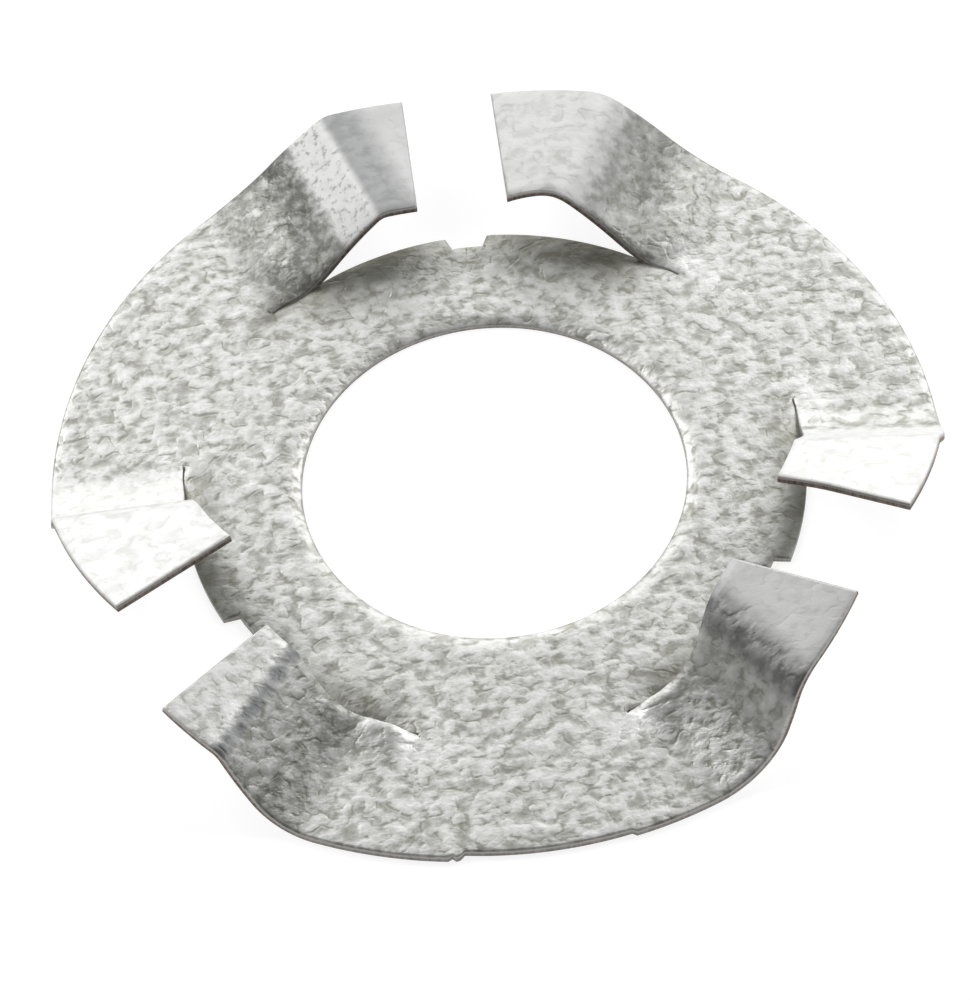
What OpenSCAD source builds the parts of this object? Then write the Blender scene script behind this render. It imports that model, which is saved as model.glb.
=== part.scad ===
// Finger-spring washer stamped in one piece from thin spring strip.
// A flat ring with a round bore carries three arms on its rim. Each arm ends in two fingers,
// slit free of the ring, bent up on a slope and bent back at a crease into a nearly level tip.
// The sizes of the fingers are given for the right, the left and the front arm, in that order.

/* [Strip] */
// Thickness of the strip
sheet_t = 0.5; // [0.3:0.05:0.8]

/* [Ring] */
// Diameter of the round bore
bore_d = 22; // [18:0.5:26]
// Diameter of the flat ring, at the slits that free the fingers
ring_d = 35.6; // [32:0.2:38]
// Depth of the notch that each slot leaves in the rim of the ring
notch_depth = 0.9; // [0.4:0.1:1.6]
// Width of that notch at its floor
notch_floor_w = 1.9; // [1:0.1:2.4]
// Width of that notch at the rim
notch_mouth_w = 2.6; // [1.6:0.1:4]

/* [Arms] */
// Angle over which an arm stays joined to the ring
web_angle = 38; // [24:1:40]
// Width of the slit between the ring and a finger
slit_w = 0.2; // [0.1:0.05:0.5]
// Radius of the blank at the middle of the arm
middle_rims = [25.7, 25.7, 25.2]; // [24:0.1:27]
// Depth of the sheared strip on the rim of the front arm
shear_depth = 0.2; // [0.1:0.05:0.8]
// Angle that the sheared strip takes up on either side of the front arm's middle
shear_angles = [11, 12]; // [4:1:26]
// Width of the burr at the clockwise end of the sheared strip
burr_w = 0.8; // [0.4:0.1:1.2]

/* [Clockwise fingers] */
// Radius of the blank at the finger's tip
sharp_rims = [25.6, 26.1, 25.8]; // [24:0.1:27]
// Distance of the tip's edge from the middle of its slot, along the flat blank
sharp_tip_gaps = [-0.4, 1.8, 2.2]; // [-1:0.1:3]
// Turn of the tip's edge
sharp_tip_turns = [-2, 1, 9]; // [-10:1:10]
// Turn of the root bend away from the slot
sharp_root_turns = [25, 19, 28]; // [16:1:34]
// Distance of the start of the root bend before the axis
sharp_root_backs = [2.6, 5.2, 1.2]; // [0:0.1:6]
// Radius of the root bend, to the middle of the strip
sharp_root_radii = [1, 0.8, 4.2]; // [0.6:0.1:6]
// Slope of the finger
sharp_slopes = [50, 33, 50]; // [28:1:70]
// Turn of the crease away from the slot
sharp_crease_turns = [22, 20, 23]; // [16:1:40]
// Distance of the start of the crease past the axis
sharp_crease_starts = [3.9, 2, 3.3]; // [1:0.1:7]
// Radius of the crease, to the middle of the strip
sharp_crease_radii = [1.1, 1, 0.9]; // [0.6:0.1:4]
// Rise of the tip
sharp_tips = [18, -5, 8]; // [-20:1:20]

/* [Anticlockwise fingers] */
// Radius of the blank at the finger's tip
round_rims = [25.8, 25.3, 25.2]; // [24:0.1:27]
// Distance of the tip's edge from the middle of its slot, along the flat blank
round_tip_gaps = [1.5, -0.4, 1.4]; // [-1:0.1:3]
// Turn of the tip's edge
round_tip_turns = [0, 1, -1]; // [-10:1:10]
// Turn of the root bend away from the slot
round_root_turns = [23, 30, 26]; // [16:1:34]
// Distance of the start of the root bend before the axis
round_root_backs = [5.1, 0.9, 4.5]; // [0:0.1:6]
// Radius of the root bend, to the middle of the strip
round_root_radii = [0.8, 2.4, 5.2]; // [0.6:0.1:6]
// Slope of the finger
round_slopes = [36, 66, 63]; // [28:1:70]
// Turn of the crease away from the slot
round_crease_turns = [27, 37, 26]; // [16:1:40]
// Distance of the start of the crease past the axis
round_crease_starts = [3.1, 6.1, 3.3]; // [1:0.1:7]
// Radius of the crease, to the middle of the strip
round_crease_radii = [2.6, 3.2, 2.7]; // [0.6:0.1:4]
// Rise of the tip
round_tips = [-4, 12, 14]; // [-20:1:20]

/* [Shown] */
// Sub-part that is drawn

/* [Hidden] */
$fn = 96;
zinc = [0.74, 0.75, 0.73];
arm_angles = [30, 150, 270];
front = 2;
half_pitch = 180 / len(arm_angles);
ring_r = ring_d / 2;
finger_r = ring_r + slit_w;
blank_r = max(max(sharp_rims), max(round_rims), max(middle_rims));
reach = 2 * blank_r;
lap = 1;
bend_steps = 6;
edge_steps = 24;
radian = 180 / PI;

// Each size of a finger, read from its list
function rim(f) = f[0];
function tip_gap(f) = f[1];
function tip_turn(f) = f[2];
function root_turn(f) = f[3];
function root_at(f) = f[4];
function root_r(f) = f[5];
function slope(f) = f[6];
function crease_turn(f) = f[7];
function crease_at(f) = f[8];
function crease_r(f) = f[9];
function fold(f) = f[10];

// Sizes of the clockwise finger and of the anticlockwise finger of an arm
function sharp_finger(i) = [
    sharp_rims[i], sharp_tip_gaps[i], sharp_tip_turns[i],
    sharp_root_turns[i], -sharp_root_backs[i], sharp_root_radii[i], sharp_slopes[i],
    sharp_crease_turns[i], sharp_crease_starts[i], sharp_crease_radii[i], sharp_slopes[i] - sharp_tips[i]
];
function round_finger(i) = [
    round_rims[i], round_tip_gaps[i], round_tip_turns[i],
    round_root_turns[i], -round_root_backs[i], round_root_radii[i], round_slopes[i],
    round_crease_turns[i], round_crease_starts[i], round_crease_radii[i], round_slopes[i] - round_tips[i]
];

// Point turned about the axis
function turned(p, a) = [p[0] * cos(a) - p[1] * sin(a), p[0] * sin(a) + p[1] * cos(a), p[2]];

// Point of the strip after a bend: p is run, place along the bend and height, from the bend's start
function carried(p, r, a) = let (
    swept = min(max(p[0] / r * radian, 0), abs(a)),
    over = max(p[0] - r * abs(a) / radian, 0),
    lead = min(p[0], 0),
    up = sign(a)
) [
    lead + r * sin(swept) + over * cos(a) - p[2] * sin(up * swept),
    p[1],
    up * (r * (1 - cos(swept)) + over * sin(abs(a))) + p[2] * cos(up * swept)
];
function bent(p, turn, at, r, a) =
    turned(carried(turned(p, -turn) - [at, 0, 0], r, a) + [at, 0, 0], turn);
function sprung(p, f) = bent(
    bent(p, crease_turn(f), crease_at(f), crease_r(f), -fold(f)),
    root_turn(f), root_at(f), root_r(f), slope(f)
);

// Angle from the slot's middle to the tip's edge at a radius
function tip_angle(r, f) = let (
    middle_r = (finger_r + rim(f)) / 2,
    foot = tip_gap(f) * cos(tip_turn(f)) - middle_r * sin(tip_turn(f))
) asin(foot / r) + tip_turn(f);

// Edge of a bent finger in plan, from its tip to the middle of the arm
function edge_point(tip_r, middle_r, f, part) = let (
    r = tip_r + (middle_r - tip_r) * max(0, 2 * part - 1),
    near = tip_angle(tip_r, f),
    a = near + (half_pitch - near) * part
) turned(sprung([-r * sin(a), r * cos(a), 0], f), -half_pitch);
function edge(tip_r, middle_r, f) = [
    for (i = [0 : edge_steps - 1])
        let (p = edge_point(tip_r, middle_r, f, i / edge_steps)) [p[0], p[1]]
];

// Turning a list of points end for end, and to the other side of the arm
function backward(list) = [for (i = [len(list) - 1 : -1 : 0]) list[i]];
function across(list) = [for (p = list) [-p[0], p[1]]];

// Plan of a whole arm with both fingers bent
function arm_plan(sharp, round, middle_rim) = concat(
    edge(rim(sharp), middle_rim, sharp),
    [[0, middle_rim]],
    backward(across(edge(rim(round), middle_rim, round))),
    across(edge(finger_r, finger_r, round)),
    [[0, finger_r]],
    backward(edge(finger_r, finger_r, sharp))
);

// Side view of what lies under the flat, the root bend and the slope, up to a height in the strip
function under_root(f, h, deep) = concat(
    [[-deep, -deep], [-deep, h]],
    [for (i = [0 : bend_steps])
        let (a = slope(f) * i / bend_steps)
        [root_at(f) + (root_r(f) - h) * sin(a), root_r(f) - (root_r(f) - h) * cos(a)]],
    [[root_at(f) + deep * cos(slope(f)), root_r(f) + deep * sin(slope(f))]],
    [[root_at(f) + deep * cos(slope(f)), -deep]]
);

// Side view of what lies under the crease and the tip, square to the slope
function crease_point(f, h, i) = let (a = fold(f) * i / bend_steps)
    [crease_at(f) + (crease_r(f) + h) * sin(a), (crease_r(f) + h) * cos(a) - crease_r(f)];
function under_crease(f, h, deep) = let (
    first = crease_point(f, h, 0),
    second = crease_point(f, h, 1),
    last = crease_point(f, h, bend_steps),
    before = first + (first - second) * lap / (second[0] - first[0])
) concat(
    [[-deep, -deep], [-deep, deep], [before[0], deep], before],
    [for (i = [1 : bend_steps]) crease_point(f, h, i)],
    [last + deep * [cos(fold(f)), -sin(fold(f))]],
    [[last[0] + deep * cos(fold(f)), -2 * deep]]
);

// Everything under one face of a bent finger, in the frame of its root bend
module under_face(f, h, deep) {
    slope_start = [root_at(f) + root_r(f) * sin(slope(f)), 0, root_r(f) * (1 - cos(slope(f)))];
    flat_start = root_at(f) + root_r(f) * slope(f) / radian;
    intersection() {
        rotate([90, 0, 0])
            linear_extrude(height = 2 * deep, center = true)
                polygon(under_root(f, h, deep));
        translate(slope_start)
            rotate([0, -slope(f), 0])
                translate([-flat_start, 0, 0])
                    rotate([0, 0, crease_turn(f) - root_turn(f)])
                        rotate([90, 0, 0])
                            linear_extrude(height = 4 * deep, center = true)
                                polygon(under_crease(f, h, 2 * deep));
    }
}

// One half of an arm as an endless bent strip, cut off just past the middle of the arm
module bent_half(f) {
    intersection() {
        translate([0, 0, sheet_t / 2])
            rotate([0, 0, root_turn(f) - half_pitch])
                difference() {
                    under_face(f, sheet_t / 2, reach);
                    under_face(f, -sheet_t / 2, 1.5 * reach);
                }
        translate([-lap, 0, -lap])
            cube([reach, reach, reach]);
    }
}

// One arm with its two fingers, pointing along the y axis
module arm(sharp, round, middle_rim) {
    intersection() {
        translate([0, 0, -lap])
            linear_extrude(height = reach)
                polygon(arm_plan(sharp, round, middle_rim));
        union() {
            bent_half(sharp);
            mirror([1, 0, 0])
                bent_half(round);
        }
    }
}

// Flat link between the ring and an arm, pointing along the y axis
module web() {
    spread = blank_r * tan(web_angle / 2);
    linear_extrude(height = sheet_t)
        intersection() {
            difference() {
                circle(r = finger_r + lap);
                circle(r = ring_r - lap);
            }
            polygon([[0, 0], [spread, blank_r], [-spread, blank_r]]);
        }
}

// Flat ring with a tapered notch opposite each slot
module ring() {
    linear_extrude(height = sheet_t)
        difference() {
            circle(d = ring_d);
            for (a = arm_angles)
                rotate(a - 90 + half_pitch)
                    polygon([
                        [-notch_floor_w / 2, ring_r - notch_depth],
                        [notch_floor_w / 2, ring_r - notch_depth],
                        [notch_mouth_w / 2, ring_r + lap],
                        [-notch_mouth_w / 2, ring_r + lap]
                    ]);
        }
}

// Strip along the rim of the front arm where it was sheared from its neighbour
module sheared_strip(rim_r) {
    far = 2 * rim_r;
    translate([0, 0, -lap])
        linear_extrude(height = sheet_t + 2 * lap)
            intersection() {
                difference() {
                    circle(r = rim_r + 2 * lap);
                    circle(r = rim_r - shear_depth);
                }
                polygon([
                    [0, 0],
                    [far * tan(shear_angles[0]), far],
                    [-far * tan(shear_angles[1]), far]
                ]);
            }
}

// Burr that stands out at the clockwise end of that strip
module shear_burr(rim_r) {
    rotate([0, 0, asin(burr_w / 2 / rim_r) - shear_angles[0]])
        translate([0, rim_r, 0])
            cylinder(d = burr_w, h = sheet_t);
}

module spring_washer() {
    color(zinc) {
        difference() {
            union() {
                ring();
                for (i = [0 : len(arm_angles) - 1])
                    rotate([0, 0, arm_angles[i] - 90]) {
                        web();
                        arm(sharp_finger(i), round_finger(i), middle_rims[i]);
                    }
            }
            translate([0, 0, -lap])
                cylinder(d = bore_d, h = sheet_t + 2 * lap);
            rotate([0, 0, arm_angles[front] - 90])
                sheared_strip(middle_rims[front]);
        }
        rotate([0, 0, arm_angles[front] - 90])
            shear_burr(middle_rims[front]);
    }
}

spring_washer();
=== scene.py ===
import math

import bmesh
import bpy
from mathutils import Matrix, Vector


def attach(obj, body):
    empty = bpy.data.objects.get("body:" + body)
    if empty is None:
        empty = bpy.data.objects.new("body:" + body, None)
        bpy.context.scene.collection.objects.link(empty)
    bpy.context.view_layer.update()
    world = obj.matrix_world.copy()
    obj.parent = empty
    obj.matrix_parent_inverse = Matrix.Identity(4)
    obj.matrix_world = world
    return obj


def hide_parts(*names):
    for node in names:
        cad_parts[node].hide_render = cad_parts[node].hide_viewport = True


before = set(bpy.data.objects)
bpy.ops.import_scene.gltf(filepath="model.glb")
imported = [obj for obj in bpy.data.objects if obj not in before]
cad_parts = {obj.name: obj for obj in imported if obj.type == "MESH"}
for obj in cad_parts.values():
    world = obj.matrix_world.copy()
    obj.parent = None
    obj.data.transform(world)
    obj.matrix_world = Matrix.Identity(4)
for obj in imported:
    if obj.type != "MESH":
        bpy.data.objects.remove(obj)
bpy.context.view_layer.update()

# The flat blank: thin spring strip, zinc coated before it was stamped.
# One stroke shears its bore, its rim, the slits that free the fingers and the slots between the arms.
# It is laid out here in the flat, as polar rows and columns, and is bent up further on.
MM = 0.001
strip_t = 0.5 * MM
bore_r = 11.0 * MM
ring_r = 17.8 * MM
laid_out_slit_w = 0.2 * MM
finger_r = ring_r + laid_out_slit_w
slit_middle_r = (ring_r + finger_r) / 2.0
blank_r = 25.75 * MM
notch_depth = 0.9 * MM
notch_floor_r = ring_r - notch_depth
half_pitch = math.radians(60.0)
arm_angles = {"right": math.radians(30.0), "left": math.radians(150.0), "front": math.radians(270.0)}
columns = 720
column_step = 2.0 * math.pi / columns
slot_half = 0.6 * column_step
notch_columns = 7
ring_rows = 12
arm_rows = 14
weld = 0.01 * MM
upright = 0.5
roll_over = 0.17 * MM
burred_round = 0.03 * MM
steepest_coated = 0.45


# A finger's bends: the root bend lifts it off the strip and the crease lays its tip back.
# Each bend is a turn of its line from the slot, in degrees, its start past the axis and its radius.
# The tip's edge is its distance from the slot's middle on the flat blank, and a small turn.
# The slit ends at an angle from the arm's middle. Along it the finger's edge is tucked in over the ring.
# That edge is drawn up or pressed down at the slit's end, hangs on the slope and curls down at the tip.
class Finger:
    def __init__(
        self, rim, tip_gap, tip_turn, root, slope, crease, rise,
        slit=19.0, drawn=0.0, tuck=0.0, hang=0.0, curl=0.0, **wear,
    ):
        self.rim = rim * MM
        self.tip_gap = tip_gap * MM
        self.tip_turn = math.radians(tip_turn)
        self.root_turn = math.radians(root[0])
        self.root_start = root[1] * MM
        self.root_radius = root[2] * MM
        self.slope = math.radians(slope)
        self.crease_turn = math.radians(crease[0])
        self.crease_start = crease[1] * MM
        self.crease_radius = crease[2] * MM
        self.fold = math.radians(slope - rise)
        self.slit_end = math.radians(slit)
        self.drawn = drawn * MM
        self.tuck = tuck * MM
        self.hang = hang * MM
        self.curl = curl * MM
        self.wear = wear

    def tip_angle(self, radius):
        middle_r = (finger_r + self.rim) / 2.0
        foot = self.tip_gap * math.cos(self.tip_turn) - middle_r * math.sin(self.tip_turn)
        return math.asin(foot / radius) + self.tip_turn


# Wear and painted light: how far the tip is rubbed, a band polished smooth and painted white as a highlight,
# flecked, the skin cracked, the crease darkened by painted shade, and how far a pale painted highlight lies
# by the slit's end and a painted shadow in the opened slit.
# Its places are in millimetres past the crease.
clockwise = {
    "right": Finger(
        rim=25.6, tip_gap=-0.4, tip_turn=-2.4, root=(24.9, -3.9, 4.0), slope=50.0, crease=(22.5, 3.9, 1.1),
        rise=17.6, slit=20.0, drawn=0.1, tuck=0.2, curl=0.5, rub=0.3, rub_from=-0.5,
        polish_highlight=0.8, polish_highlight_from=-7.0, polish_highlight_to=9.0, crease_shade=0.5, crease_shade_at=-0.5, crease_shade_w=0.7, slit_highlight=0.7,
    ),
    "left": Finger(
        rim=26.1, tip_gap=1.8, tip_turn=1.3, root=(18.7, -7.6, 9.0), slope=33.3, crease=(19.8, 2.0, 1.0),
        rise=-4.6, drawn=-0.5, tuck=0.2, hang=0.4, rub=0.9, rub_from=-1.7,
        polish_highlight=1.0, polish_highlight_from=-3.7, polish_highlight_to=-0.3, fleck=0.5, crease_shade=0.6, crease_shade_at=0.6, crease_shade_w=2.2,
        crack=0.85, crack_to=-3.4, slit_shadow=1.0,
    ),
    "front": Finger(
        rim=25.8, tip_gap=2.2, tip_turn=9.6, root=(28.5, -1.1, 4.2), slope=49.6, crease=(23.3, 3.3, 0.9),
        rise=7.5, drawn=0.6, rub=0.3, rub_from=0.3, crease_shade=0.95, crease_shade_w=0.5,
        crack=0.75, crack_to=-3.7, slit_highlight=0.9,
    ),
}
anticlockwise = {
    "right": Finger(
        rim=25.8, tip_gap=1.5, tip_turn=-0.2, root=(22.9, -7.35, 8.0), slope=36.1, crease=(27.0, 3.1, 2.6),
        rise=-3.8, slit=17.0, drawn=-0.4, tuck=0.2, hang=0.4, curl=1.0, rub=0.65, rub_from=-3.4,
        crack=0.6, crack_to=-2.2, slit_highlight=0.9,
    ),
    "left": Finger(
        rim=25.3, tip_gap=-0.4, tip_turn=1.2, root=(30.5, -2.4, 5.0), slope=66.6, crease=(37.3, 6.1, 3.2),
        rise=11.8, slit=20.5, drawn=0.1, tuck=0.2, rub=0.3, rub_from=-0.5,
        polish_highlight=0.75, polish_highlight_from=-8.0, polish_highlight_to=9.0, crease_shade=0.9, crease_shade_at=-0.9, crease_shade_w=1.2, slit_highlight=0.5,
    ),
    "front": Finger(
        rim=25.2, tip_gap=1.4, tip_turn=-1.0, root=(26.2, -4.5, 5.2), slope=63.7, crease=(26.0, 3.3, 2.7),
        rise=13.9, drawn=0.6, rub=0.85, rub_from=-0.2, crease_shade=0.75, crease_shade_at=-0.6, crease_shade_w=1.7,
        crack=0.15, crack_to=-0.8, slit_highlight=0.9,
    ),
}


def arm_of(angle):
    """The arm that a direction belongs to, and the angle from that arm's middle."""
    for name, middle in arm_angles.items():
        away = (angle - middle + math.pi) % (2.0 * math.pi) - math.pi
        if abs(away) <= half_pitch + 1e-6:
            return name, away
    raise ValueError("no arm lies in this direction")


def finger_of(arm, away):
    return anticlockwise[arm] if away > 0 else clockwise[arm]


blank = bmesh.new()
row_radii = [bore_r + (notch_floor_r - bore_r) * i / ring_rows for i in range(ring_rows + 1)]
row_radii += [notch_floor_r + notch_depth / 2.0, ring_r]
row_radii += [finger_r + (blank_r - finger_r) * i / arm_rows for i in range(arm_rows + 1)]
start = half_pitch / 2.0 + column_step / 2.0
row = [blank.verts.new((r * math.cos(start), r * math.sin(start), 0.0)) for r in row_radii]
edges = [blank.edges.new(pair) for pair in zip(row, row[1:])]
bmesh.ops.spin(
    blank, geom=row + edges, cent=(0, 0, 0), axis=(0, 0, 1),
    angle=2.0 * math.pi, steps=columns, use_merge=True,
)
bmesh.ops.remove_doubles(blank, verts=blank.verts, dist=weld)

cut_away = []
for face in blank.faces:
    middle = face.calc_center_median()
    radius = middle.to_2d().length
    arm, away = arm_of(math.atan2(middle.y, middle.x))
    from_slot = half_pitch - abs(away)
    in_slit = ring_r < radius < finger_r and abs(away) > finger_of(arm, away).slit_end
    in_slot = radius > finger_r and from_slot < slot_half
    in_notch = notch_floor_r < radius < ring_r and from_slot < column_step * notch_columns
    if in_slit or in_slot or in_notch:
        cut_away.append(face)
bmesh.ops.delete(blank, geom=cut_away, context="FACES")

bmesh.ops.recalc_face_normals(blank, faces=blank.faces)
if next(iter(blank.faces)).normal.z < 0:
    bmesh.ops.reverse_faces(blank, faces=blank.faces)
bmesh.ops.solidify(blank, geom=blank.faces[:], thickness=strip_t)
lowest = min(vert.co.z for vert in blank.verts)
bmesh.ops.translate(blank, verts=blank.verts, vec=(0, 0, -lowest))
bmesh.ops.recalc_face_normals(blank, faces=blank.faces)

walls = [face for face in blank.faces if abs(face.normal.z) < upright]
for face in walls:
    face.material_index = 1
rims = [
    edge
    for edge in blank.edges
    if len(edge.link_faces) == 2 and len({face.material_index for face in edge.link_faces}) == 2
]
upper_rims = [edge for edge in rims if edge.verts[0].co.z > strip_t / 2.0]
lower_rims = [edge for edge in rims if edge.verts[0].co.z < strip_t / 2.0]
bmesh.ops.bevel(
    blank, geom=upper_rims, offset=roll_over, offset_type="OFFSET", affect="EDGES",
    segments=3, profile=0.5, material=-1, clamp_overlap=False,
)
lower_rims = [edge for edge in lower_rims if edge.is_valid]
bmesh.ops.bevel(
    blank, geom=lower_rims, offset=burred_round, offset_type="OFFSET", affect="EDGES",
    segments=1, profile=0.5, material=-1, clamp_overlap=False,
)
blank.normal_update()
for face in blank.faces:
    face.material_index = 0 if abs(face.normal.z) > steepest_coated else 1


# The true outline: closed slits, straight tips, tapered notches and the rim of each arm.
# The front arm was sheared from its neighbour in the strip, which left a shallow step and a small burr.
# Beside a slit the rolled-over edge is much narrower than on the rims.
middle_rims = {"right": 25.7 * MM, "left": 25.7 * MM, "front": 25.2 * MM}
rim_settles = half_pitch / 2.0
web_half = math.radians(19.0)
last_column = half_pitch - column_step / 2.0
slit_w = 0.06 * MM
slit_roll = 0.3
slit_roll_reach = 1.05 * roll_over
tucked_in = math.radians(8.0)
shear_depth = 0.2 * MM
shear_from = math.radians(-11.0)
shear_to = math.radians(12.0)
burr_at = math.radians(-10.2)
burr_w = math.radians(1.8)
burr_height = 0.4 * MM
notch_floor_w = 1.9 * MM
notch_mouth_w = 2.6 * MM
notch_side = column_step * (notch_columns + 0.5)
notch_spread = math.radians(9.0)
notch_fade = 1.5 * MM


def smooth_step(value):
    value = min(1.0, max(0.0, value))
    return value * value * (3.0 - 2.0 * value)


def true_outline(point, arm, away):
    radius = point.to_2d().length
    turn = abs(away)
    from_slot = half_pitch - turn
    if radius > slit_middle_r:
        finger = finger_of(arm, away)
        rim = middle_rims[arm] + (finger.rim - middle_rims[arm]) * min(1.0, turn / rim_settles)
        if arm == "front" and shear_from < away < shear_to:
            rim = middle_rims[arm] - shear_depth
            rim += burr_height * max(0.0, 1.0 - (2.0 * (away - burr_at) / burr_w) ** 2)
        edge_r = ring_r + slit_w - finger.tuck * smooth_step((turn - finger.slit_end) / tucked_in)
        inset = radius - finger_r
        if inset < slit_roll_reach and turn > finger.slit_end:
            inset *= slit_roll
        radius = edge_r + inset * (rim - edge_r) / (blank_r - finger_r)
        if turn > web_half:
            reach = half_pitch - finger.tip_angle(radius)
            turn = web_half + (turn - web_half) * (reach - web_half) / (last_column - web_half)
    else:
        part = min(1.0, max(0.0, (radius - notch_floor_r) / notch_depth))
        width = notch_floor_w + (notch_mouth_w - notch_floor_w) * part
        shift = math.asin(width / 2.0 / radius) - notch_side
        weight = max(0.0, 1.0 - max(0.0, from_slot - notch_side) / notch_spread)
        weight *= min(1.0, max(0.0, 1.0 - (notch_floor_r - radius) / notch_fade))
        turn -= shift * weight
        if ring_r - radius < slit_roll_reach and from_slot > notch_side + column_step:
            radius = ring_r - slit_roll * (ring_r - radius)
    angle = arm_angles[arm] + math.copysign(turn, away)
    return Vector((radius * math.cos(angle), radius * math.sin(angle), point.z))


# Bending the fingers: what lies past a bend line is carried round the bend and on in its new direction.
# Before that, the ring's edges are rolled down by the die and the fingers' inner edges are drawn out of true.
# Each point also keeps its place on the flat blank, what the coating needs to know about its wear, and where
# painted shade, a painted shadow and painted highlights lie.
def bend(point, turn, offset, angle, radius):
    along = Vector((-math.sin(turn), math.cos(turn)))
    across = Vector((math.cos(turn), math.sin(turn)))
    flat = point.to_2d()
    past = flat.dot(across) - offset
    if past <= 0.0:
        return point
    sign = 1.0 if angle >= 0 else -1.0
    swept = min(past / radius, abs(angle))
    over = max(0.0, past - radius * abs(angle))
    run = radius * math.sin(swept) + over * math.cos(abs(angle))
    rise = sign * (radius * (1.0 - math.cos(swept)) + over * math.sin(abs(angle)))
    run -= point.z * math.sin(sign * swept)
    height = rise + point.z * math.cos(sign * swept)
    flat = across * (run + offset) + along * flat.dot(along)
    return Vector((flat.x, flat.y, height))


flat_x = blank.verts.layers.float.new("flat_x")
flat_y = blank.verts.layers.float.new("flat_y")
past_crease = blank.verts.layers.float.new("past_crease")
past_root = blank.verts.layers.float.new("past_root")
height_in_strip = blank.verts.layers.float.new("height_in_strip")
painted_shade = blank.verts.layers.float.new("painted_shade")
painted_slit_highlight = blank.verts.layers.float.new("painted_slit_highlight")
wear_names = (
    "rub", "rub_from", "polish_highlight", "polish_highlight_from", "polish_highlight_to", "fleck",
    "crease_shade", "crease_shade_at", "crease_shade_w", "crack", "crack_to",
)
wear_layers = {name: blank.verts.layers.float.new(name) for name in wear_names}
far_away = -20.0
hanging_w = 3.5 * MM
curled_w = 3.0 * MM
curled_l = 4.0 * MM
drawn_up = math.radians(6.0)
# Painted shade on the ring under the fingers: how far round from the slots it reaches and fades, how much
# lighter it is where the slot opens, and how dark and how far in it lies at the back and at the sides.
shade_spread = math.radians(44.0)
shade_fade = math.radians(13.0)
open_spread = math.radians(14.0)
open_share = 0.45
back_shade, back_shade_r = 1.0, 13.3 * MM
side_shade, side_shade_r = 0.8, 14.6 * MM
# Painted highlight beside each slit's end: its radius, its width and its length.
slit_highlight_r = 18.9 * MM
slit_highlight_w, slit_highlight_l = 0.8 * MM, 2.3 * MM
# Painted shadow in the opened slit at one finger's slit end: its width, its length and its offset from the
# end.
slit_shadow_w, slit_shadow_l = 0.75 * MM, 2.2 * MM
slit_shadow_from_end = 0.8 * MM
die_roll = 0.4
die_roll_w = 1.2 * MM
bore_roll = 0.35
bore_roll_w = 0.7 * MM

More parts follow.
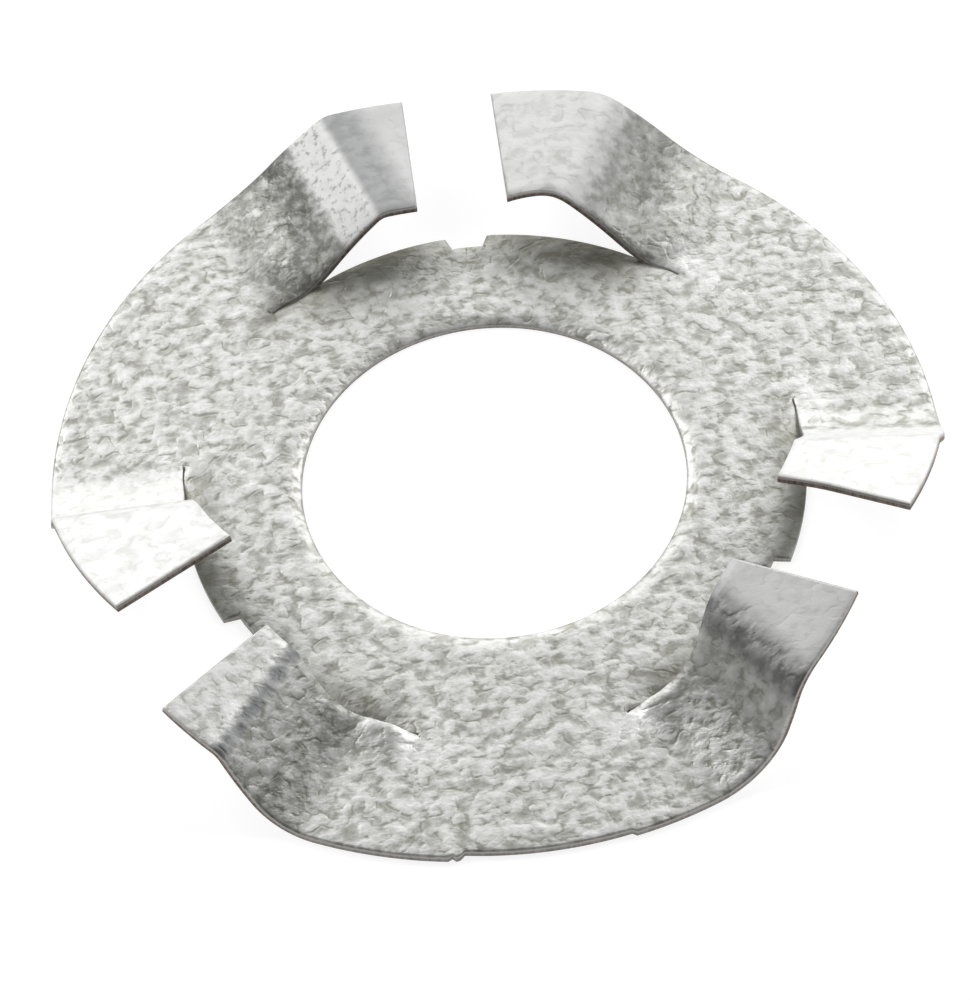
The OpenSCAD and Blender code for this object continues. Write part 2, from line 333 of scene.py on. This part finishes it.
for vert in blank.verts:
    arm, away = arm_of(math.atan2(vert.co.y, vert.co.x))
    finger = finger_of(arm, away)
    on_arm = vert.co.to_2d().length > slit_middle_r
    vert.co = true_outline(vert.co, arm, away)
    vert[flat_x] = vert.co.x / MM
    vert[flat_y] = vert.co.y / MM
    vert[height_in_strip] = vert.co.z / MM
    vert[wear_layers["crease_shade_w"]] = 1.0
    vert[past_crease] = far_away
    vert[past_root] = far_away
    radius = vert.co.to_2d().length
    past_end = (abs(away) - finger.slit_end) * radius
    past_slit = smooth_step(past_end / radius / drawn_up)
    # Painted shadow where the opened slit shows dark under the lifted edge.
    slit_shadow_reach = ((radius - ring_r) / slit_shadow_w) ** 2 + ((past_end - slit_shadow_from_end) / slit_shadow_l) ** 2
    vert[painted_shade] = finger.wear.get("slit_shadow", 0.0) * math.exp(-slit_shadow_reach)
    if not on_arm:
        # On the ring, painted shade: a dark olive band under the fingers' tips, strongest at the back and
        # towards the rim.
        at_back = (arm == "left" and away < 0) or (arm == "right" and away > 0)
        from_slot = half_pitch - abs(away)
        under_tips = smooth_step((shade_spread - from_slot) / shade_fade)
        under_tips *= 1.0 - open_share * smooth_step(1.0 - from_slot / open_spread)
        depth, inner_r = (back_shade, back_shade_r) if at_back else (side_shade, side_shade_r)
        under_tips *= depth * smooth_step((radius - inner_r) / (ring_r - inner_r))
        vert[painted_shade] = max(vert[painted_shade], under_tips)
        vert.co.z *= 1.0 - die_roll * past_slit * smooth_step(1.0 - (ring_r - radius) / die_roll_w)
        vert.co.z *= 1.0 - bore_roll * smooth_step(1.0 - (radius - bore_r) / bore_roll_w)
        continue
    mirror = -1.0 if away > 0 else 1.0
    gap_angle = arm_angles[arm] + (half_pitch if away > 0 else -half_pitch)
    to_gap = Matrix.Rotation(math.pi / 2.0 - gap_angle, 3, "Z")
    point = to_gap @ vert.co
    point.x *= mirror
    flat = point.to_2d()
    near_ring = max(0.0, 1.0 - (flat.length - ring_r) / hanging_w)
    near_edge = max(0.0, 1.0 - (flat.length - ring_r) / curled_w)
    crease_across = Vector((math.cos(finger.crease_turn), math.sin(finger.crease_turn)))
    crease_middle = finger.crease_start + finger.crease_radius * finger.fold / 2.0
    root_across = Vector((math.cos(finger.root_turn), math.sin(finger.root_turn)))
    vert[past_crease] = (flat.dot(crease_across) - crease_middle) / MM
    vert[past_root] = (flat.dot(root_across) - finger.root_start) / MM
    # Painted highlight: a pale patch beside the slit's end, where the drawn-up edge catches the light.
    highlight_out = (radius - slit_highlight_r) / slit_highlight_w
    highlight_along = past_end / slit_highlight_l
    vert[painted_slit_highlight] = finger.wear.get("slit_highlight", 0.0) * math.exp(-(highlight_out ** 2) - highlight_along ** 2)
    for name, layer in wear_layers.items():
        vert[layer] = finger.wear.get(name, vert[layer])
    slope_length = flat.dot(root_across) - finger.root_start - flat.dot(crease_across) + crease_middle
    up_slope = min(1.0, max(0.0, vert[past_root] * MM / slope_length))
    past_bend = min(1.0, max(0.0, vert[past_crease] * MM / curled_l))
    level = point.z
    point.z += finger.drawn * past_slit * (1.0 - up_slope) ** 2 * near_ring ** 2
    point.z -= finger.hang * math.sin(math.pi * up_slope) * near_ring ** 2
    point.z -= finger.curl * past_bend ** 2 * near_edge ** 2
    point = bend(point, finger.crease_turn, finger.crease_start, -finger.fold, finger.crease_radius)
    point = bend(point, finger.root_turn, finger.root_start, finger.slope, finger.root_radius)
    point.x *= mirror
    point.z = max(point.z, level)
    vert.co = to_gap.transposed() @ point

flat_map = blank.loops.layers.uv.new("blank")
map_size = 60.0
for face in blank.faces:
    for loop in face.loops:
        loop[flat_map].uv = (loop.vert[flat_x] / map_size + 0.5, loop.vert[flat_y] / map_size + 0.5)

bmesh.ops.recalc_face_normals(blank, faces=blank.faces)
strip_mesh = bpy.data.meshes.new("sprung_strip")
blank.to_mesh(strip_mesh)
blank.free()
strip_mesh.polygons.foreach_set("use_smooth", [True] * len(strip_mesh.polygons))
strip_mesh.set_sharp_from_angle(angle=math.radians(60.0))
strip = bpy.data.objects.new("sprung_strip", strip_mesh)
bpy.context.scene.collection.objects.link(strip)


# The zinc coating: a thin wrinkled skin over both faces of the strip, pale grey with olive-grey hollows.
# It went on before the stroke, so its grain lies in the flat blank and is bent up with the fingers.
# The press tool has rubbed the tips smooth and cracked the skin on the slopes.
# Painted light lies on it too: painted shade along the creases and in an olive band on the ring under the
# fingers, a painted shadow in one opened slit, and painted highlights, white on a polished band and the lower
# tips, pale by the slit ends.
# Among these, the near-white, the dark olive, the dark blue-grey and the pale near-white are painted light: a
# highlight, shade under the fingers, shade along the creases and a highlight by the slit ends.
rubbed_dark, rubbed_light = 0.58, 0.66
highlight_white = (0.92, 0.92, 0.91)
hollow_olive = (0.20, 0.20, 0.155)
shade_olive = (0.15, 0.15, 0.115)
cracked_grey = (0.14, 0.143, 0.125)
crease_shade_grey = (0.17, 0.175, 0.18)
fleck_grey = (0.16, 0.16, 0.15)
slit_highlight_white = (0.88, 0.88, 0.87)


def add_node(tree, kind, **values):
    node = tree.nodes.new(kind)
    for name, value in values.items():
        if name in node.inputs:
            node.inputs[name].default_value = value
        else:
            setattr(node, name, value)
    return node


def feed(tree, value, socket):
    """Links a socket to another, or gives it a plain number or colour."""
    if isinstance(value, bpy.types.NodeSocket):
        tree.links.new(value, socket)
    elif isinstance(value, tuple):
        socket.default_value = (*value, 1.0)
    else:
        socket.default_value = value


def calculate(tree, operation, *values):
    """One step of arithmetic on sockets or plain numbers."""
    node = add_node(tree, "ShaderNodeMath", operation=operation)
    for value, socket in zip(values, node.inputs):
        feed(tree, value, socket)
    return node.outputs[0]


def between(tree, value, low, high, first=0.0, last=1.0):
    """A smooth step from first to last as the value goes from low to high."""
    node = add_node(tree, "ShaderNodeMapRange", interpolation_type="SMOOTHSTEP")
    levels = {"Value": value, "From Min": low, "From Max": high, "To Min": first, "To Max": last}
    for name, level in levels.items():
        feed(tree, level, node.inputs[name])
    return node.outputs["Result"]


def noise(tree, vector, scale, detail, roughness, distortion=0.0):
    node = add_node(
        tree, "ShaderNodeTexNoise", Scale=scale, Detail=detail, Roughness=roughness, Distortion=distortion
    )
    tree.links.new(vector, node.inputs["Vector"])
    return node.outputs["Fac"]


def shade(tree, factor, stops):
    """A colour ramp through grey levels or colours."""
    node = tree.nodes.new("ShaderNodeValToRGB")
    elements = node.color_ramp.elements
    while len(elements) < len(stops):
        elements.new(0.5)
    for element, (position, tone) in zip(elements, stops):
        element.position = position
        element.color = (*tone, 1.0) if isinstance(tone, tuple) else (tone, tone, tone, 1.0)
    tree.links.new(factor, node.inputs["Fac"])
    return node.outputs["Color"]


def blend_colours(tree, factor, under, over):
    node = add_node(tree, "ShaderNodeMix", data_type="RGBA")
    for value, socket in zip((factor, under, over), (node.inputs[0], node.inputs[6], node.inputs[7])):
        feed(tree, value, socket)
    return node.outputs[2]


def attribute(tree, name):
    return add_node(tree, "ShaderNodeAttribute", attribute_name=name).outputs["Fac"]


wrinkled_skin = bpy.data.node_groups.new("wrinkled_skin", "ShaderNodeTree")
wrinkled_skin.interface.new_socket("Vector", in_out="INPUT", socket_type="NodeSocketVector")
for name in ("Wrinkle", "Mottle", "Height"):
    wrinkled_skin.interface.new_socket(name, in_out="OUTPUT", socket_type="NodeSocketFloat")
tree = wrinkled_skin
entry = tree.nodes.new("NodeGroupInput").outputs["Vector"]
rolled = add_node(tree, "ShaderNodeMapping", Scale=(0.85, 1.0, 1.0))
tree.links.new(entry, rolled.inputs["Vector"])
along_strip = rolled.outputs["Vector"]
folds = noise(tree, along_strip, 54.0, 1.0, 0.5, 0.3)
mottle = noise(tree, along_strip, 80.0, 3.0, 0.55)
from_fold = calculate(tree, "ABSOLUTE", calculate(tree, "SUBTRACT", folds, 0.5))
fold_line = between(tree, from_fold, 0.0, 0.09, 1.0, 0.0)
stroke = calculate(tree, "MULTIPLY", fold_line, between(tree, mottle, 0.40, 0.58, 1.0, 0.15))
ruffled = calculate(tree, "MULTIPLY_ADD", mottle, 0.6, calculate(tree, "MULTIPLY", folds, 0.4))
wrinkle = calculate(tree, "MAXIMUM", stroke, between(tree, ruffled, 0.37, 0.54, 0.6, 0.0))
ruffled = calculate(tree, "MULTIPLY_ADD", stroke, -0.1, ruffled)
leave = tree.nodes.new("NodeGroupOutput")
tree.links.new(wrinkle, leave.inputs["Wrinkle"])
tree.links.new(mottle, leave.inputs["Mottle"])
tree.links.new(ruffled, leave.inputs["Height"])

zinc = bpy.data.materials.new("zinc_coating")
zinc.use_nodes = True
tree = zinc.node_tree
shader = tree.nodes["Principled BSDF"]
blank_uv = add_node(tree, "ShaderNodeUVMap", uv_map="blank").outputs["UV"]
skin = add_node(tree, "ShaderNodeGroup", node_tree=wrinkled_skin)
tree.links.new(blank_uv, skin.inputs["Vector"])
cloud = noise(tree, blank_uv, 9.0, 4.0, 0.6)
ragged = noise(tree, blank_uv, 75.0, 3.0, 0.6)
specks = noise(tree, blank_uv, 140.0, 3.0, 0.6)
jagged = calculate(tree, "MULTIPLY_ADD", ragged, 1.6, -0.8)
from_crease = attribute(tree, "past_crease")
from_root = attribute(tree, "past_root")

place = calculate(tree, "ADD", from_crease, jagged)
frayed = calculate(tree, "MULTIPLY_ADD", jagged, 0.25, from_crease)
rub_start = attribute(tree, "rub_from")
rubbed = between(tree, place, rub_start, calculate(tree, "ADD", rub_start, 1.0))
rubbed = calculate(tree, "MULTIPLY", attribute(tree, "rub"), rubbed)
# Painted highlight: a white band where a slope by the crease and the lower tips catch the light, on a band
# that is also rubbed smooth.
highlight_start = attribute(tree, "polish_highlight_from")
highlight_end = attribute(tree, "polish_highlight_to")
polish_highlight_mask = calculate(
    tree, "MULTIPLY", between(tree, place, highlight_start, calculate(tree, "ADD", highlight_start, 1.2)),
    between(tree, from_crease, highlight_end, calculate(tree, "ADD", highlight_end, 0.4), 1.0, 0.0),
)
polish_highlight_mask = calculate(tree, "MULTIPLY", attribute(tree, "polish_highlight"), polish_highlight_mask)
smooth = calculate(tree, "MAXIMUM", rubbed, polish_highlight_mask)
flecked = calculate(tree, "MULTIPLY", attribute(tree, "fleck"), between(tree, specks, 0.33, 0.49, 1.0, 0.0))
flecked = calculate(tree, "MULTIPLY", flecked, polish_highlight_mask)
# Painted shade: a dark blue-grey band along the crease.
from_crease_shade = calculate(tree, "ABSOLUTE", calculate(tree, "SUBTRACT", frayed, attribute(tree, "crease_shade_at")))
crease_shade_reach = calculate(tree, "DIVIDE", from_crease_shade, attribute(tree, "crease_shade_w"))
in_crease_shade = between(tree, crease_shade_reach, 0.2, 1.0, 1.0, 0.0)
crease_shaded = calculate(tree, "MULTIPLY", attribute(tree, "crease_shade"), in_crease_shade)
crease_shaded = calculate(tree, "MULTIPLY", crease_shaded, calculate(tree, "SUBTRACT", 1.0, polish_highlight_mask))
crease_shaded = calculate(tree, "MULTIPLY", crease_shaded, between(tree, skin.outputs["Mottle"], 0.35, 0.65, 1.0, 0.7))
crack_end = attribute(tree, "crack_to")
on_slope = calculate(
    tree, "MULTIPLY", between(tree, calculate(tree, "ADD", from_root, jagged), -0.5, 2.0),
    between(tree, place, crack_end, calculate(tree, "ADD", crack_end, 1.0), 1.0, 0.0),
)
cracked = calculate(tree, "MULTIPLY", attribute(tree, "crack"), on_slope)
cracked = calculate(tree, "MULTIPLY", cracked, between(tree, ragged, 0.38, 0.66, 1.0, 0.5))
# Painted shade under the fingers and a painted shadow in one opened slit, in dark olive.
shade_mask = calculate(tree, "MULTIPLY", attribute(tree, "painted_shade"), between(tree, cloud, 0.35, 0.65, 0.7, 1.0))
# Painted highlight: pale near-white beside the slit ends.
slit_highlight = calculate(tree, "MULTIPLY", attribute(tree, "painted_slit_highlight"), between(tree, ragged, 0.35, 0.6, 0.4, 1.0))
hollow_share = calculate(tree, "MULTIPLY_ADD", smooth, -0.5, 0.6)
hollow = calculate(tree, "MULTIPLY", skin.outputs["Wrinkle"], hollow_share)

pale = shade(
    tree, skin.outputs["Mottle"],
    [(0.32, (0.51, 0.51, 0.48)), (0.50, (0.63, 0.63, 0.61)), (0.68, (0.74, 0.74, 0.73))],
)
rubbed_grey = shade(tree, cloud, [(0.3, rubbed_dark), (0.7, rubbed_light)])
tint = blend_colours(tree, rubbed, pale, rubbed_grey)
tint = blend_colours(tree, polish_highlight_mask, tint, highlight_white)
tint = blend_colours(tree, hollow, tint, hollow_olive)
tint = blend_colours(tree, shade_mask, tint, shade_olive)
tint = blend_colours(tree, cracked, tint, cracked_grey)
tint = blend_colours(tree, crease_shaded, tint, crease_shade_grey)
tint = blend_colours(tree, flecked, tint, fleck_grey)
tint = blend_colours(tree, slit_highlight, tint, slit_highlight_white)
tree.links.new(tint, shader.inputs["Base Color"])
gloss = calculate(tree, "MULTIPLY_ADD", skin.outputs["Mottle"], 0.3, 0.30)
tree.links.new(calculate(tree, "MULTIPLY_ADD", smooth, 0.22, gloss), shader.inputs["Roughness"])
metal = calculate(tree, "MULTIPLY_ADD", hollow, -0.3, 0.8)
tree.links.new(calculate(tree, "MULTIPLY_ADD", polish_highlight_mask, -0.4, metal), shader.inputs["Metallic"])
bump = add_node(tree, "ShaderNodeBump", Strength=0.6, Distance=0.2 * MM)
smoothing = calculate(tree, "MULTIPLY_ADD", smooth, -0.7, 1.0)
relief = calculate(tree, "MULTIPLY", calculate(tree, "SUBTRACT", skin.outputs["Height"], 0.5), smoothing)
tree.links.new(relief, bump.inputs["Height"])
tree.links.new(bump.outputs["Normal"], shader.inputs["Normal"])

# The sheared edges: bare steel all round the blank, brown on the fingers, where the cut has gone dull.
# The upper part was cut clean and smeared by the punch, and the lower part broke away rough.
# Fine drag marks run through the thickness, and the outer corners have been rubbed bright.
clean_grey = (0.46, 0.43, 0.40)
smeared_zinc = (0.62, 0.62, 0.60)
sheared = bpy.data.materials.new("sheared_edge")
sheared.use_nodes = True
tree = sheared.node_tree
shader = tree.nodes["Principled BSDF"]
blank_uv = add_node(tree, "ShaderNodeUVMap", uv_map="blank").outputs["UV"]
skin = add_node(tree, "ShaderNodeGroup", node_tree=wrinkled_skin)
tree.links.new(blank_uv, skin.inputs["Vector"])
drag = noise(tree, blank_uv, 260.0, 3.0, 0.6)
up_wall = calculate(tree, "MULTIPLY_ADD", drag, 0.12, attribute(tree, "height_in_strip"))
grey_break = shade(tree, drag, [(0.35, (0.30, 0.28, 0.255)), (0.65, (0.50, 0.475, 0.44))])
brown_break = shade(tree, drag, [(0.35, (0.14, 0.105, 0.085)), (0.65, (0.34, 0.27, 0.23))])
bare = blend_colours(tree, between(tree, attribute(tree, "past_crease"), -8.0, -4.0), grey_break, brown_break)
clean_cut = between(tree, up_wall, 0.28, 0.38)
tint = blend_colours(tree, clean_cut, bare, clean_grey)
smeared = calculate(tree, "MULTIPLY", between(tree, up_wall, 0.38, 0.46), skin.outputs["Mottle"])
tint = blend_colours(tree, smeared, tint, smeared_zinc)
tree.links.new(tint, shader.inputs["Base Color"])
tree.links.new(calculate(tree, "MULTIPLY_ADD", clean_cut, -0.25, 0.62), shader.inputs["Roughness"])
shader.inputs["Metallic"].default_value = 0.5
bump = add_node(tree, "ShaderNodeBump", Strength=0.5, Distance=0.05 * MM)
tree.links.new(drag, bump.inputs["Height"])
tree.links.new(bump.outputs["Normal"], shader.inputs["Normal"])

strip_mesh.materials.append(zinc)
strip_mesh.materials.append(sheared)
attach(strip, "root")
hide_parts("spring_washer")

# The table: a wide pale sheet that the washer lies on, a hair below it so that no two faces coincide.
# It glows white to the eye and to reflections, and still takes the washer's soft shadow.
table_r = 2.0
table_grey = (0.25, 0.25, 0.25, 1.0)
table_glow = 0.85
just_below = Matrix.Translation((0.0, 0.0, -0.02 * MM))
floor_mesh = bpy.data.meshes.new("table")
sheet = bmesh.new()
bmesh.ops.create_circle(sheet, cap_ends=True, segments=64, radius=table_r, matrix=just_below)
sheet.to_mesh(floor_mesh)
sheet.free()
floor = bpy.data.objects.new("table", floor_mesh)
bpy.context.scene.collection.objects.link(floor)
white = bpy.data.materials.new("white_table")
white.use_nodes = True
tree = white.node_tree
tree.nodes.remove(tree.nodes["Principled BSDF"])
matte = add_node(tree, "ShaderNodeBsdfDiffuse", Color=table_grey)
rays = add_node(tree, "ShaderNodeLightPath").outputs
seen = calculate(tree, "MAXIMUM", rays["Is Camera Ray"], rays["Is Glossy Ray"])
seen = calculate(tree, "MAXIMUM", seen, rays["Is Transmission Ray"])
glow = add_node(tree, "ShaderNodeEmission")
tree.links.new(calculate(tree, "MULTIPLY", seen, table_glow), glow.inputs["Strength"])
both = add_node(tree, "ShaderNodeAddShader")
tree.links.new(matte.outputs[0], both.inputs[0])
tree.links.new(glow.outputs[0], both.inputs[1])
tree.links.new(both.outputs[0], tree.nodes["Material Output"].inputs["Surface"])
floor_mesh.materials.append(white)

# Soft studio light: broad panels behind the washer, low and high, and a small one close to each side.
# The room in front is left dim, so that what slopes towards the viewer stays darker.
room_light = 0.15
world = bpy.data.worlds.new("room")
world.use_nodes = True
world.node_tree.nodes["Background"].inputs["Color"].default_value = (1.0, 1.0, 1.0, 1.0)
world.node_tree.nodes["Background"].inputs["Strength"].default_value = room_light
bpy.context.scene.world = world


def soft_panel(name, turn, height, away, size, power):
    """A square panel at a direction and height in degrees, facing the washer."""
    turn, height = math.radians(turn), math.radians(height)
    level = math.cos(height)
    place = Vector((level * math.cos(turn), level * math.sin(turn), math.sin(height))) * away
    lamp = bpy.data.lights.new(name, "AREA")
    lamp.size = size
    lamp.energy = power
    panel = bpy.data.objects.new(name, lamp)
    panel.location = place
    panel.rotation_euler = (-place).to_track_quat("-Z", "Y").to_euler()
    bpy.context.scene.collection.objects.link(panel)


soft_panel("back_low_panel", turn=90.0, height=16.0, away=0.5, size=0.3, power=0.36)
soft_panel("back_panel", turn=90.0, height=30.0, away=0.5, size=0.3, power=0.42)
soft_panel("back_left_panel", turn=135.0, height=45.0, away=0.5, size=0.2, power=0.85)
soft_panel("back_right_panel", turn=45.0, height=45.0, away=0.5, size=0.2, power=0.65)
soft_panel("right_low_panel", turn=45.0, height=22.0, away=0.5, size=0.3, power=0.28)
soft_panel("left_near_panel", turn=180.0, height=32.0, away=0.09, size=0.03, power=0.0145)
soft_panel("right_near_panel", turn=0.0, height=32.0, away=0.09, size=0.03, power=0.017)

# The camera: a long lens looking down at the washer from the front.
# It is rolled a little, and the washer lies a little turned before it.
photo_width = 970.0
focal_pixels = 4636.8
sensor_w = 36.0
look_down = math.radians(54.266)
roll = math.radians(5.451)
washer_turn = math.radians(1.15)
aim = Vector((-0.0576 * bore_r, -0.1176 * bore_r, 0.0))
distance = 24.0 * bore_r
back = Vector((0.0, -math.cos(look_down), math.sin(look_down)))
up = Vector((0.0, math.sin(look_down), math.cos(look_down)))
right = Vector((1.0, 0.0, 0.0))
rolled_right = right * math.cos(roll) - up * math.sin(roll)
rolled_up = right * math.sin(roll) + up * math.cos(roll)
lens = bpy.data.cameras.new("photo_camera")
lens.sensor_fit = "HORIZONTAL"
lens.sensor_width = sensor_w
lens.lens = sensor_w * focal_pixels / photo_width
lens.clip_start = 0.01
camera = bpy.data.objects.new("photo_camera", lens)
pose = Matrix((rolled_right, rolled_up, back)).transposed().to_4x4()
pose.translation = aim + distance * back
camera.matrix_world = Matrix.Rotation(-washer_turn, 4, "Z") @ pose
bpy.context.scene.collection.objects.link(camera)
bpy.context.scene.camera = camera
bpy.context.scene.view_settings.view_transform = "Standard"
